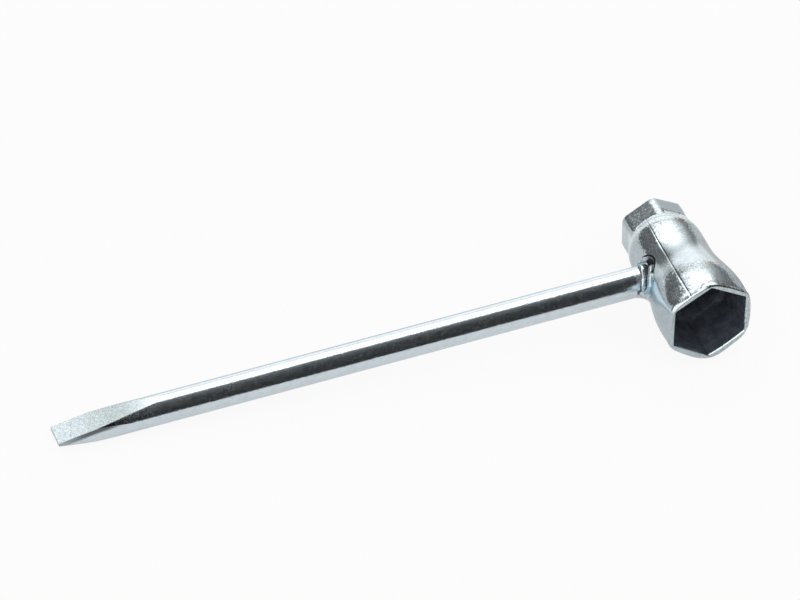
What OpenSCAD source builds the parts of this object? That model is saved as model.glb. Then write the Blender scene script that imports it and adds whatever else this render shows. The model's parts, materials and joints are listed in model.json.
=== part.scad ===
// Spark plug wrench: a tube formed into two hex sockets, with a screwdriver rod welded to its waist.
// The tube lies along Y and the plug socket's mouth is centred on the origin, facing -Y.
// The rod points along -X and the blade lies flat, so Z is up when the wrench lies on its side.

/* [Socket tube] */
// Size across the flats of the plug socket, with its clearance
plug_hex = 19.15; // [16:0.05:24]
// Size across the flats of the nut socket, with its clearance
nut_hex = 13.2; // [10:0.05:15]
// Wall of the tube on the flats and round the neck
wall = 1.65; // [1.3:0.05:2.4]
// Wall that is left outside the corners of the plug socket
corner_wall = 1.2; // [0.8:0.05:2]
// Length of the tube from the plug mouth to the rod's axis
plug_side = 21.5; // [18:0.1:30]
// Length of the tube from the rod's axis to the nut mouth
nut_side = 19.6; // [17:0.1:30]
// Depth of the hexagon in the plug socket
plug_hex_depth = 13.5; // [8:0.5:14]
// Depth of the hexagon in the nut socket
nut_hex_depth = 10; // [6:0.5:12]
// Length of the cone from the plug hexagon to the neck
plug_taper = 2.5; // [1.5:0.25:4]
// Length of the cone from the neck to the nut hexagon
nut_taper = 3; // [2:0.25:4]
// Diameter of the round neck between the sockets
neck_bore = 16.8; // [14:0.1:18]
// Turn of the plug hexagon about the tube's axis, away from a corner straight up
plug_turn = 3; // [0:0.5:30]
// Turn of the nut hexagon about the tube's axis, away from a corner straight up
nut_turn = 1.5; // [0:0.5:30]

/* [Tube outside] */
// Distance of the plug barrel's crown from the plug mouth
crown_station = 6.5; // [3:0.5:9]
// How much less the mouth's rim stands out than the barrel's crown
mouth_draw = 0.25; // [0:0.05:0.6]
// Lean of the flats that fade out into the plug barrel, in degrees
flat_lean = 3.4; // [2:0.1:6]
// How far the narrowest point of the waist lies past the rod's axis
waist_shift = 0.55; // [0.4:0.05:0.75]
// How far the nut barrel stands out from the waist
nut_barrel_rise = 0.15; // [0.05:0.05:0.6]
// Length of the domed shoulder between the nut barrel and the outer hexagon
shoulder_run = 7.5; // [5:0.25:9]
// Distance of the shoulder's foot from the nut mouth
shoulder_foot = 4.5; // [3:0.25:6]
// Corner radius of the outer hexagon on the nut socket
nut_corner = 2.35; // [1:0.05:3]
// Edge that is broken off outside the rim of the plug mouth
rim_break = 0.5; // [0.2:0.05:0.6]
// Depth of the lead-in inside the rim of the plug mouth
mouth_lead = 0.9; // [0.4:0.1:1.5]
// How far the lead-in widens the plug mouth on the flats
mouth_flare = 0.5; // [0.2:0.05:0.7]
// Width of the tube's lengthwise seam
seam_width = 0.3; // [0.2:0.05:0.6]
// Depth of the tube's lengthwise seam
seam_depth = 0.2; // [0.1:0.05:0.4]

/* [Rod and blade] */
// Diameter of the rod
rod_diameter = 8; // [6:0.5:10]
// Distance of the blade's tip from the tube's axis
reach = 170.8; // [120:0.2:260]
// Length of the blade's taper from its tip
blade_length = 34; // [24:1:44]
// Width of the blade at its tip
blade_width = 6.85; // [4:0.05:7.5]
// Thickness of the blade at its tip
blade_tip = 1; // [0.6:0.1:1.6]
// Length of the blade's parallel sides
blade_parallel = 8; // [4:0.5:14]
// Length over which the blade's sides draw in from the rod
blade_draw = 18; // [8:0.5:20]

/* [Weld] */
// Radius of the root bead, which lies against the tube
root_bead = 1.9; // [1.4:0.1:2.4]
// Radius of the cap bead, which lies on the rod
cap_bead = 1.4; // [1:0.1:1.8]

/* [Hidden] */
$fn = 96;

// Spare length by which a cutting shape passes the face that it cuts
spare = 1;
// Steps in each stretch of a curved outline
steps = 12;
// How far each cone starts inside the flats of its hexagon
taper_step = 0.3;
// Power of the curve that thins the blade, where 1 is a plain wedge
blade_curve = 1.6;
// How far the blade's curves pass the rod's surface before they end
blade_overrun = 0.15;

tube_length = plug_side + nut_side;
waist_station = plug_side + waist_shift;
rod_r = rod_diameter / 2;
neck_r = neck_bore / 2;
plug_corner_r = plug_hex / sqrt(3);
crown_r = plug_corner_r + corner_wall;
waist_r = neck_r + wall;
nut_barrel_r = waist_r + nut_barrel_rise;
nut_flat_r = nut_hex / 2 + wall;
// The dome ends inside the outer hexagon, so its foot is smaller than the flats
dome_end_r = nut_flat_r - wall / 2;
foot_station = tube_length - shoulder_foot;
dome_station = foot_station - shoulder_run;
// The seam lies in the middle of the flat that faces up and towards the rod
seam_angle = plug_turn - 30;
// The lead-in stops short of the corners' outside, so that the rim stays whole
lead_corner_r = plug_corner_r + 0.05;
// Size of the root below a bead, as a share of the bead's radius
bead_root = 0.85;
// The beads are centred near the rod's surface, and overlap each other by about a third
root_bead_out = waist_r - root_bead / 2;
root_bead_at = rod_r + root_bead * 0.65;
cap_bead_out = root_bead_out + root_bead * 0.65 + cap_bead * 0.75;
cap_bead_at = rod_r + cap_bead * 0.2;

// Value between a and b that leaves a and reaches b with no slope
function ease(a, b, t) = a + (b - a) * (1 - cos(180 * t)) / 2;

// Value between a and b that leaves a with no slope and falls away to b
function dome(a, b, t) = b + (a - b) * cos(90 * t);

// Points [distance, radius] of the eased stretch between two stations, without the last one
function eased(from, to) =
    [for (i = [0 : steps - 1]) [from[0] + (to[0] - from[0]) * i / steps, ease(from[1], to[1], i / steps)]];

// Points [distance, radius] of the domed shoulder, with the last one
function domed(from, to) =
    [for (i = [0 : steps]) [from[0] + (to[0] - from[0]) * i / steps, dome(from[1], to[1], i / steps)]];

// Outline of the tube's round outside, from the plug mouth to the shoulder's foot
function tube_outline() = concat(
    [[0, crown_r - mouth_draw - rim_break]],
    eased([rim_break, crown_r - mouth_draw], [crown_station, crown_r]),
    eased([crown_station, crown_r], [waist_station, waist_r]),
    eased([waist_station, waist_r], [dome_station, nut_barrel_r]),
    domed([dome_station, nut_barrel_r], [foot_station, dome_end_r])
);

// Half thickness of the blade at a distance from its tip
function blade_half(d) =
    rod_r + blade_overrun - (rod_r + blade_overrun - blade_tip / 2) * pow(1 - d / blade_length, blade_curve);

// Half width of the blade at a distance from its tip
function blade_side(d) =
    ease(blade_width / 2, rod_r + blade_overrun, min(1, max(0, (d - blade_parallel) / blade_draw)));

// Hexagon with round corners and a corner on the X axis
module rounded_hexagon(across, corner) {
    centre_r = (across / 2 - corner) / cos(30);
    polygon([for (k = [0 : 5]) for (i = [0 : steps / 2])
        let (a = 60 * k - 30 + 120 * i / steps)
        [centre_r * cos(60 * k) + corner * cos(a), centre_r * sin(60 * k) + corner * sin(a)]]);
}

// Turns what is drawn along Z to lie along the tube, with hexagon corners up and down
module along_tube() {
    rotate([-90, 0, 0]) children();
}

// Turns what is drawn along Z to point along the rod, away from the tube
module along_rod() {
    translate([0, plug_side, 0]) rotate([0, -90, 0]) children();
}

// Turns a hexagon so that a corner points up, then by its own turn
module hexagon_up(turn) {
    rotate(30 + turn) children();
}

// Round body of the tube, drawn in by inset all over
module barrel(inset = 0) {
    outline = tube_outline();
    rotate_extrude()
        polygon(concat(
            [[0, 0]],
            [for (p = outline) [p[1] - inset, p[0]]],
            [[0, foot_station]]
        ));
}

// Six flats round the plug mouth that lean outwards from it, as cutting blocks
module plug_flats(inset, lean) {
    block = 3 * crown_r;
    hexagon_up(plug_turn)
        for (k = [0 : 5])
            rotate(30 + 60 * k)
                translate([plug_hex / 2 + wall - inset, 0, 0])
                    rotate([0, lean, 0])
                        translate([0, -block / 2, -block / 2]) cube(block);
}

// Outside of the whole tube, drawn in by inset all over
module tube_outside(inset = 0) {
    difference() {
        barrel(inset);
        plug_flats(inset, flat_lean);
        plug_flats(inset + rim_break, 45);
    }
    translate([0, 0, dome_station])
        linear_extrude(tube_length - dome_station)
            hexagon_up(nut_turn) rounded_hexagon(2 * (nut_flat_r - inset), nut_corner);
}

// The two hexagons, the cones and the neck, from mouth to mouth
module tube_inside() {
    nut_floor = tube_length - nut_hex_depth;
    mouth_lead_in();
    translate([0, 0, -spare])
        linear_extrude(plug_hex_depth + spare) hexagon_up(plug_turn) circle(plug_corner_r, $fn = 6);
    translate([0, 0, plug_hex_depth])
        cylinder(h = plug_taper, r1 = plug_hex / 2 - taper_step, r2 = neck_r);
    translate([0, 0, plug_hex_depth - spare])
        cylinder(h = nut_floor - nut_taper - plug_hex_depth + spare, r = neck_r);
    translate([0, 0, nut_floor - nut_taper])
        cylinder(h = nut_taper, r1 = neck_r, r2 = nut_hex / 2 - taper_step);
    translate([0, 0, nut_floor - taper_step])
        linear_extrude(nut_hex_depth + taper_step + spare)
            hexagon_up(nut_turn) circle(nut_hex / sqrt(3), $fn = 6);
}

// Lead-in of the plug mouth, which follows the flats and leaves the corners whole
module mouth_lead_in() {
    slope = mouth_flare / mouth_lead;
    intersection() {
        translate([0, 0, -spare])
            hexagon_up(plug_turn)
                cylinder(
                    h = mouth_lead + spare,
                    r1 = plug_corner_r + slope * (mouth_lead + spare) / cos(30),
                    r2 = plug_corner_r,
                    $fn = 6
                );
        translate([0, 0, -2 * spare]) cylinder(h = mouth_lead + 2 * spare, r = lead_corner_r);
    }
}

// Shallow groove of the seam, which runs the whole length of the tube
module tube_seam() {
    difference() {
        rotate(seam_angle - 90)
            translate([0, -seam_width / 2, -spare])
                cube([2 * crown_r, seam_width, tube_length + 2 * spare]);
        tube_outside(seam_depth);
    }
}

module socket_tube() {
    color("silver")
        along_tube()
            difference() {
                tube_outside();
                tube_inside();
                tube_seam();
            }
}

// Plain round bar from the tube's axis to the blade's tip
module rod_bar() {
    along_rod() cylinder(h = reach, r = rod_r);
}

// Outline of the blade and the rod about the rod's axis, with X along the rod
// and half as the function that gives its half size at a distance from the tip
module blade_outline(half) {
    stations = [for (i = [0 : 2 * steps]) blade_length * i / steps / 2];
    edge = concat([for (d = stations) [d - reach, half(d)]], [[spare, half(blade_length)]]);
    mirrored = [for (i = [len(edge) - 1 : -1 : 0]) [edge[i][0], -edge[i][1]]];
    polygon(concat(edge, mirrored));
}

module handle_rod() {
    color("gainsboro")
        difference() {
            intersection() {
                rod_bar();
                translate([0, plug_side, 0])
                    rotate([90, 0, 0])
                        linear_extrude(rod_diameter + spare, center = true)
                            blade_outline(function (d) blade_half(d));
                translate([0, plug_side, 0])
                    linear_extrude(rod_diameter + spare, center = true)
                        blade_outline(function (d) blade_side(d));
            }
            along_tube() barrel();
        }
}

// Ring of weld round the rod: a round bead at a distance from the tube's axis, and its root below it
module weld_ring(bead, out, at) {
    along_rod() {
        translate([0, 0, out]) rotate_extrude() translate([at, 0]) circle(bead);
        translate([0, 0, rod_r]) cylinder(h = out - rod_r, r = at + bead * bead_root);
    }
}

module weld_root_bead() {
    color("darkgray")
        difference() {
            weld_ring(root_bead, root_bead_out, root_bead_at);
            rod_bar();
            along_tube() barrel();
        }
}

module weld_cap_bead() {
    color("darkgray")
        difference() {
            weld_ring(cap_bead, cap_bead_out, cap_bead_at);
            weld_ring(root_bead, root_bead_out, root_bead_at);
            rod_bar();
            along_tube() barrel();
        }
}

socket_tube();
handle_rod();
weld_root_bead();
weld_cap_bead();
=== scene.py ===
import json
import math

import bmesh
import bpy
from mathutils import Matrix, Vector


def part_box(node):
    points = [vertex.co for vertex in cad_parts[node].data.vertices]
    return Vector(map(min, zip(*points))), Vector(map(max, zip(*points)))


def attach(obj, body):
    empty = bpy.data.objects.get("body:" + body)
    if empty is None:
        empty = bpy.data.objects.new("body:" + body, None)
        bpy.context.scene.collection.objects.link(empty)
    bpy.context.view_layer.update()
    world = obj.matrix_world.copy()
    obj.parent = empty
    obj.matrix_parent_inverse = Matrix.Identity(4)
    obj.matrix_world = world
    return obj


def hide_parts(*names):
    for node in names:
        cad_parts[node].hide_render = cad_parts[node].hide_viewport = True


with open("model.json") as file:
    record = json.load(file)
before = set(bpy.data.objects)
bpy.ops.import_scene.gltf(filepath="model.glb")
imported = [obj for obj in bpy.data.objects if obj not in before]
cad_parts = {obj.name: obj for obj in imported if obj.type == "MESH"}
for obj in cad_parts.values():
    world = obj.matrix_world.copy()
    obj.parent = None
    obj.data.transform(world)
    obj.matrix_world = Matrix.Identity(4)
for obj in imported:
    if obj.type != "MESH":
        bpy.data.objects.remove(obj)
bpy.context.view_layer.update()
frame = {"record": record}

MM = 0.001
DEG = math.radians(1)


def mm(*sizes):
    """Sizes in millimetres."""
    return tuple(size * MM for size in sizes)


def deg(*angles):
    """Angles in degrees."""
    return tuple(angle * DEG for angle in angles)


# Points nearer than this lie at one place, and the whole wrench lies within this distance
SAME_PLACE, FAR = mm(0.001, 1000)
# Half the angle that a hexagon's side takes up
HEX_HALF = 30 * DEG
mounts = {mount["name"]: mount for mount in frame["record"]["mounts"]}
tube_low, tube_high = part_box("socket_tube")
rod_low, rod_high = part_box("handle_rod")

# Places and sizes that the frame gives
NUT_MOUTH = mounts["nut_socket"]["pos_m"][1]
ROD_STATION = mounts["handle_grip"]["pos_m"][1]
BLADE_TIP = mounts["blade_tip"]["pos_m"][0]
NECK_R = mounts["neck_bore"]["dims"]["r_mm"] * MM
CROWN_R = (tube_high.z - tube_low.z) / 2
ROD_R = (rod_high.z - rod_low.z) / 2

# The tube's outside, as stations from the plug mouth and radii
WALL = 1.65 * MM
PLUG_HEX_R, NUT_HEX_R = mm(9.575, 6.6)
PLUG_TURN, NUT_TURN = deg(3, 1.5)
CROWN_STATION = 5.5 * MM
MOUTH_DRAW = 0.25 * MM
FLAT_LEAN, FLAT_FADE = math.tan(8 * DEG), 0.45 * MM
WAIST_R = NECK_R + WALL - 0.05 * MM
WAIST_STATION = ROD_STATION + 0.55 * MM
BARREL_END = WAIST_STATION + 1 * MM
NUT_BARREL_R = WAIST_R + 0.1 * MM
SHOULDER_FOOT = NUT_MOUTH - 5 * MM
SHOULDER_TOP = SHOULDER_FOOT - 7 * MM
SHOULDER_CURVE = 2.6
FOOT_LENGTH, DOME_BLEND = mm(1, 0.3)
# Stations of the first rings, from which the others are drawn, and the hexagons' corners and rims
PLUG_START, NUT_START = 1.2 * MM, NUT_MOUTH - 0.6 * MM
PLUG_CORNER, NUT_CORNER = mm(4, 2.35)
RIM_ROUND, NUT_RIM_ROUND = mm(0.5, 0.35)
# How far a rim's inner edge lies behind its outer one, and how near to each a ring keeps the plug's crisp
RIM_STEP, RIM_KEEP = mm(0.06, 0.12)
RIM_OUTER, RIM_INNER = RIM_STEP / 3, RIM_STEP * 2 / 3
# The lower side of the plug mouth is swelled nearly round, at these angles and by these heights: first its
# outside alone, then the whole wall
OUTER_HEELS = ((PLUG_TURN + 180 * DEG, 0.25 * MM), (PLUG_TURN - 150 * DEG, 0.25 * MM))
WALL_HEELS = (
    (PLUG_TURN + 90 * DEG, 0.2 * MM),
    (PLUG_TURN + 150 * DEG, 0.75 * MM),
    (PLUG_TURN + 180 * DEG, 0.2 * MM),
)
HEEL_DEPTH, HEEL_REACH = mm(1.5, 7)
HEEL_WIDTH = math.cos(11.5 * DEG)

# The tube's inside
PLUG_HEX_DEPTH, NUT_HEX_DEPTH = mm(13.5, 10)
PLUG_INNER_CORNER, NUT_INNER_CORNER = mm(0.5, 0.35)
PLUG_CONE, NUT_CONE = mm(2.5, 3)
CONE_STEP, CONE_LEDGE = mm(0.3, 0.05)
LEAD_IN, LEAD_FLARE = mm(0.45, 0.28)
NUT_LEAD_IN, NUT_LEAD_FLARE = mm(0.4, 0.3)
NUT_CORNER_FLARE = 0.3
# Radii within which the points at a mouth belong to the tube's inside
PLUG_INSIDE, NUT_INSIDE = CROWN_R - 0.75 * MM, NUT_HEX_R * 1.2

# Points in a hexagon's round corner, cuts in its flat, and a flat's least share of the longest edge
CORNER_SEGMENTS, FLAT_CUTS, FLAT_SHARE = 6, 15, 0.95
# Rings along each stretch of the tube
MOUTH_RINGS, PLUG_RINGS, FOOT_RINGS, DOME_RINGS, BARREL_RINGS = 7, 14, 3, 16, 6
RIM_RINGS, NUT_RIM_RINGS, LEAD_RINGS, NUT_LEAD_RINGS = 6, 4, 4, 2
PLUG_HEX_RINGS, NUT_HEX_RINGS, CONE_RINGS = 8, 6, 3

# The seam runs one cut beside the middle of the nut hexagon's flat, at this angle from it
NUT_CUT = (NUT_HEX_R + WALL - NUT_CORNER) * math.tan(HEX_HALF) * 2 / (FLAT_CUTS + 1)
SEAM_ASIDE = math.atan(NUT_CUT / (NUT_HEX_R + WALL))
# The barrel's turn, which brings that cut in line with the middle of the plug's flat
BARREL_TURN = PLUG_TURN - NUT_TURN - SEAM_ASIDE
SEAM_WIDTH, SEAM_DEPTH, SEAM_SHORT = mm(0.24, 0.11, 1)
SEAM_PEAK, SEAM_PEAK_REACH = mm(0.2, 3)
# How near its line the seam's edges lie before and after it is opened, and how long they are at least
SEAM_NEAR, SEAM_BOTTOM, SEAM_EDGE = mm(0.15, 0.06, 0.02)

# The rod and its blade, whose curves run out a little past the rod's surface
ROD_SUNK, ROD_POINTS, SHARP_EDGE = 1.2 * MM, 128, 40 * DEG
BLADE_LENGTH, BLADE_LEAD = mm(34, 2)
BLADE_RINGS = 40
BLADE_HALF_WIDTH, BLADE_HALF_TIP = mm(3.425, 0.5)
BLADE_PARALLEL, BLADE_DRAW = mm(8, 18)
BLADE_CURVE = 1.6
BLADE_FULL = ROD_R + 0.15 * MM

# The camera that took the photograph, about the point where the rod's axis meets the tube's
AZIMUTH, ELEVATION, ROLL = deg(-19, 41.46, 2)
DISTANCE = 2000 * MM
PIXELS_PER_MM = 3.852
CROSSING = Vector((0, ROD_STATION, 0))
CROSSING_AT = (678.77, 270.5)
PICTURE = (800, 600)
# The sensor's width in millimetres, and the nearest and farthest that the camera sees
SENSOR = 36
NEAREST, FARTHEST = mm(100, 20000)


def camera():
    a, e, r = AZIMUTH, ELEVATION, ROLL
    back = Vector((math.sin(a) * math.cos(e), -math.cos(a) * math.cos(e), math.sin(e)))
    right = Vector((math.cos(a), math.sin(a), 0))
    up = back.cross(right)
    right, up = right * math.cos(r) - up * math.sin(r), up * math.cos(r) + right * math.sin(r)
    aside, below = ((at - size / 2) / PIXELS_PER_MM * MM for at, size in zip(CROSSING_AT, PICTURE))
    data = bpy.data.cameras.new("photo_camera")
    data.sensor_width = SENSOR
    data.lens = PIXELS_PER_MM * DISTANCE / MM / PICTURE[0] * SENSOR
    data.clip_start, data.clip_end = NEAREST, FARTHEST
    cam = bpy.data.objects.new("photo_camera", data)
    bpy.context.scene.collection.objects.link(cam)
    place = CROSSING - right * aside + up * below + back * DISTANCE
    cam.matrix_world = Matrix.Translation(place) @ Matrix((right, up, back)).transposed().to_4x4()
    bpy.context.scene.camera = cam


# Modelling moves

def ease(a, b, t):
    """Value between a and b that leaves a and reaches b with no slope."""
    t = min(1, max(0, t))
    return a + (b - a) * (1 - math.cos(math.pi * t)) / 2


def soft_min(a, b, blend):
    """The lesser of two sizes, with the crossing rounded off over the blend."""
    near = max(blend - abs(a - b), 0) / blend
    return min(a, b) - near * near * blend / 4


def soft_max(a, b, blend):
    return -soft_min(-a, -b, blend)


def spread(first, last, count):
    """Evenly spaced values after the first one, up to the last."""
    return [first + (last - first) * (i + 1) / count for i in range(count)]


def quarter_round(radius, rings):
    """Depth behind the mouth and draw inwards of each ring round a rim."""
    return [(radius * (1 - math.sin(a)), radius * (1 - math.cos(a))) for a in spread(0, math.pi / 2, rings)]


def begin(piece_name):
    """The primitive just added becomes a named piece with its place in its mesh, open in edit mode."""
    piece = bpy.context.object
    piece.name = piece.data.name = piece_name
    bpy.ops.object.transform_apply(location=True, rotation=True, scale=True)
    bpy.ops.object.mode_set(mode="EDIT")
    return piece


def anywhere(p):
    return True


def select_where(piece, test, numbers=None):
    """Selects the points whose place passes the test, of these numbers or of all, and nothing else."""
    bpy.ops.mesh.select_all(action="DESELECT")
    bm = bmesh.from_edit_mesh(piece.data)
    bm.verts.ensure_lookup_table()
    for v in bm.verts if numbers is None else [bm.verts[number] for number in numbers]:
        v.select_set(test(v.co))
    bm.select_flush(True)
    bmesh.update_edit_mesh(piece.data)


def numbers_where(piece, test):
    """Numbers of the points whose place passes the test."""
    return [v.index for v in bmesh.from_edit_mesh(piece.data).verts if test(v.co)]


def selected_points(piece):
    return [v.co.copy() for v in bmesh.from_edit_mesh(piece.data).verts if v.select]


def from_axis(p):
    return math.hypot(p.x, p.z)


def outwards_at(angle):
    """Direction out of the tube at an angle from straight up."""
    return Vector((math.sin(angle), 0, math.cos(angle)))


def turn(axis, angle, middle):
    bpy.ops.transform.rotate(value=-angle, orient_axis=axis, center_override=middle)


def finish_smooth(piece):
    """Leaves edit mode, subdivides the piece, applies its modifiers and shades it smooth."""
    bpy.ops.object.mode_set(mode="OBJECT")
    smooth = piece.modifiers.new("smooth", "SUBSURF")
    smooth.levels = smooth.render_levels = 1
    bpy.ops.object.select_all(action="DESELECT")
    bpy.context.view_layer.objects.active = piece
    piece.select_set(True)
    for modifier in list(piece.modifiers):
        bpy.ops.object.modifier_apply(modifier=modifier.name)
    bpy.ops.object.shade_smooth()


def add_hexagon(station, flat, lean):
    """A plain hexagon across the tube, with a corner up that leans over."""
    bpy.ops.mesh.primitive_circle_add(
        vertices=6,
        radius=flat / math.cos(HEX_HALF),
        fill_type="NOTHING",
        location=(0, station, 0),
        rotation=(math.pi / 2, lean, 0),
    )


def round_hexagon(piece, corner_radius):
    """Rounds the corners of the selected hexagon and cuts its flats, so that it can be swaged."""
    bpy.ops.mesh.bevel(
        offset=corner_radius * math.tan(HEX_HALF),
        offset_type="OFFSET",
        segments=CORNER_SEGMENTS,
        affect="VERTICES",
    )
    bm = bmesh.from_edit_mesh(piece.data)
    ring_edges = [e for e in bm.edges if all(v.select for v in e.verts)]
    longest = max(e.calc_length() for e in ring_edges)
    bpy.ops.mesh.select_mode(type="EDGE")
    bpy.ops.mesh.select_all(action="DESELECT")
    for e in ring_edges:
        e.select_set(e.calc_length() > FLAT_SHARE * longest)
    bmesh.update_edit_mesh(piece.data)
    bpy.ops.mesh.subdivide(number_cuts=FLAT_CUTS)
    bpy.ops.mesh.select_mode(type="VERT")


def select_ring(piece, station, most=FAR):
    select_where(piece, lambda p: abs(p.y - station) < SAME_PLACE and 0 < from_axis(p) < most)


def swage(piece, station, flat, corner, lean=0):
    """Draws the selected ring on to a station, with these radii at its flats and its corners."""
    ring = selected_points(piece)
    distances = [from_axis(p) for p in ring]
    low, high, mean = min(distances), max(distances), sum(distances) / len(distances)
    share = flat / corner
    rounder = 0
    if high - low > SAME_PLACE:
        rounder = (share * high - low) / (mean * (1 - share) - low + share * high)
        rounder = min(1, max(0, rounder))
    size = flat / (low + (mean - low) * rounder)
    bpy.ops.mesh.extrude_edges_move(TRANSFORM_OT_translate={"value": (0, station - ring[0].y, 0)})
    bpy.ops.transform.tosphere(value=rounder)
    bpy.ops.transform.resize(value=(size, 1, size), center_override=(0, station, 0))
    if lean:
        turn("Y", lean, (0, station, 0))


# The socket tube

def barrel_r(station):
    """Radius of the tube's round outside at a station."""
    if station < CROWN_STATION:
        return ease(CROWN_R - MOUTH_DRAW, CROWN_R, station / CROWN_STATION)
    if station < WAIST_STATION:
        return ease(CROWN_R, WAIST_R, (station - CROWN_STATION) / (WAIST_STATION - CROWN_STATION))
    if station < SHOULDER_TOP:
        return ease(WAIST_R, NUT_BARREL_R, (station - WAIST_STATION) / (SHOULDER_TOP - WAIST_STATION))
    t = min(1, (station - SHOULDER_TOP) / (SHOULDER_FOOT - SHOULDER_TOP))
    foot = NUT_HEX_R + WALL / 2
    return foot + (NUT_BARREL_R - foot) * (1 - t ** SHOULDER_CURVE)


def plug_radii(station):
    """Radii of the plug end's outside, at its flats and at its corners."""
    round_r = barrel_r(station)
    return soft_min(PLUG_HEX_R + WALL + FLAT_LEAN * station, round_r, FLAT_FADE), round_r


def plug_outside(piece):
    round_hexagon(piece, PLUG_CORNER)
    select_ring(piece, PLUG_START)
    to_crown = spread(PLUG_START, CROWN_STATION, MOUTH_RINGS)
    for station in to_crown + spread(CROWN_STATION, WAIST_STATION, PLUG_RINGS):
        swage(piece, station, *plug_radii(station))
    select_ring(piece, PLUG_START)
    for station, draw in quarter_round(RIM_ROUND, RIM_RINGS):
        flat, corner = plug_radii(station)
        swage(piece, station, flat - draw, corner - draw)
    draw += RIM_KEEP
    swage(piece, RIM_OUTER, flat - draw, corner - draw)


def swell_heels(piece, heels):
    """Swells the wall of the plug mouth outwards, as far as it has been drawn."""
    for angle, swell in heels:
        outwards = outwards_at(angle)
        select_where(piece, lambda p: p.normalized().dot(outwards) > HEEL_WIDTH and p.y < HEEL_DEPTH)
        bpy.ops.transform.translate(
            value=outwards * swell,
            use_proportional_edit=True,
            proportional_edit_falloff="SMOOTH",
            proportional_size=HEEL_REACH,
        )


def nut_outside(piece):
    hex_flat = NUT_HEX_R + WALL
    add_hexagon(NUT_START, hex_flat, NUT_TURN)
    round_hexagon(piece, NUT_CORNER)
    select_ring(piece, NUT_START)
    hex_corner = max(from_axis(p) for p in selected_points(piece))
    foot = SHOULDER_FOOT + FOOT_LENGTH
    over_dome = spread(NUT_START, foot, FOOT_RINGS) + spread(foot, SHOULDER_TOP, DOME_RINGS)
    along_barrel = spread(SHOULDER_TOP, BARREL_END, BARREL_RINGS)
    for station in over_dome + along_barrel:
        flat, corner = (soft_max(r, barrel_r(station), DOME_BLEND) for r in (hex_flat, hex_corner))
        swage(piece, station, flat, corner, BARREL_TURN / BARREL_RINGS if station in along_barrel else 0)
    select_ring(piece, NUT_START)
    for depth, draw in quarter_round(NUT_RIM_ROUND, NUT_RIM_RINGS):
        swage(piece, NUT_MOUTH - depth, hex_flat - draw, hex_corner - draw)


def draw_socket(piece, start, bottom, flat, lean, corner_radius, inside, rings):
    """Draws a hexagonal socket to its bottom, and gives the radius at its corners."""
    add_hexagon(start, flat, lean)
    round_hexagon(piece, corner_radius)
    select_ring(piece, start, inside)
    corner = max(from_axis(p) for p in selected_points(piece))
    for station in spread(start, bottom, rings):
        swage(piece, station, flat, corner)
    return corner


def draw_cone(piece, bottom, end, wide):
    """Draws the selected ring on in a cone, from a socket's bottom to the neck."""
    for station in spread(bottom, end, CONE_RINGS):
        r = wide + (NECK_R - wide) * (station - bottom) / (end - bottom)
        swage(piece, station, r, r)


def plug_inside(piece):
    bottom, wide = PLUG_HEX_DEPTH, PLUG_HEX_R - CONE_STEP
    corner = draw_socket(
        piece, LEAD_IN, bottom, PLUG_HEX_R, PLUG_TURN, PLUG_INNER_CORNER, PLUG_INSIDE, PLUG_HEX_RINGS
    )
    swage(piece, bottom + CONE_LEDGE, wide, wide)
    draw_cone(piece, bottom, bottom + PLUG_CONE, wide)
    select_ring(piece, LEAD_IN, PLUG_INSIDE)
    for station in spread(LEAD_IN, RIM_STEP, LEAD_RINGS):
        flare = LEAD_FLARE * (1 - station / LEAD_IN)
        swage(piece, station, PLUG_HEX_R + flare, corner + flare)
    flare += RIM_KEEP
    swage(piece, RIM_INNER, PLUG_HEX_R + flare, corner + flare)


def nut_inside(piece):
    start, bottom = NUT_MOUTH - NUT_LEAD_IN, NUT_MOUTH - NUT_HEX_DEPTH
    corner = draw_socket(
        piece, start, bottom, NUT_HEX_R, NUT_TURN, NUT_INNER_CORNER, NUT_INSIDE, NUT_HEX_RINGS
    )
    swage(piece, bottom - CONE_LEDGE, NUT_HEX_R, NUT_HEX_R)
    draw_cone(piece, bottom, bottom - NUT_CONE, NUT_HEX_R)
    select_ring(piece, start, NUT_INSIDE)
    for station in spread(start, NUT_MOUTH - RIM_STEP, NUT_LEAD_RINGS):
        flare = NUT_LEAD_FLARE * (station - start) / (NUT_MOUTH - start)
        swage(piece, station, NUT_HEX_R + flare, corner + NUT_CORNER_FLARE * flare)


def bridge(piece, *rings):
    """Joins two rings, each a station with the least and greatest radius there."""
    def on_ring(p):
        return any(abs(p.y - s) < SAME_PLACE and low < from_axis(p) < high for s, low, high in rings)

    select_where(piece, on_ring)
    bpy.ops.mesh.bridge_edge_loops()


def seam_angle(station):
    """Angle of the seam from straight up, from the middle of the plug's flat to beside that of the nut's."""
    along = min(1, max(0, (SHOULDER_TOP - station) / (SHOULDER_TOP - BARREL_END)))
    return NUT_TURN - HEX_HALF + SEAM_ASIDE + BARREL_TURN * along


def select_seam(piece, reach, first, last):
    """Selects the lengthwise edges outside the tube, between two stations, near the seam's line."""
    bpy.ops.mesh.select_mode(type="EDGE")
    bpy.ops.mesh.select_all(action="DESELECT")
    bm = bmesh.from_edit_mesh(piece.data)

    def on_line(p):
        aside = abs(math.atan2(p.x, p.z) - seam_angle(p.y)) * from_axis(p)
        return aside < reach and from_axis(p) > NUT_HEX_R + WALL / 2 and first < p.y < last

    for e in bm.edges:
        low, high = (v.co for v in e.verts)
        outside = from_axis(low) > barrel_r(low.y) - WALL / 2 or low.y > SHOULDER_TOP
        if on_line(low) and on_line(high) and outside and abs(low.y - high.y) > SEAM_EDGE:
            e.select_set(True)
    bmesh.update_edit_mesh(piece.data)


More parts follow.
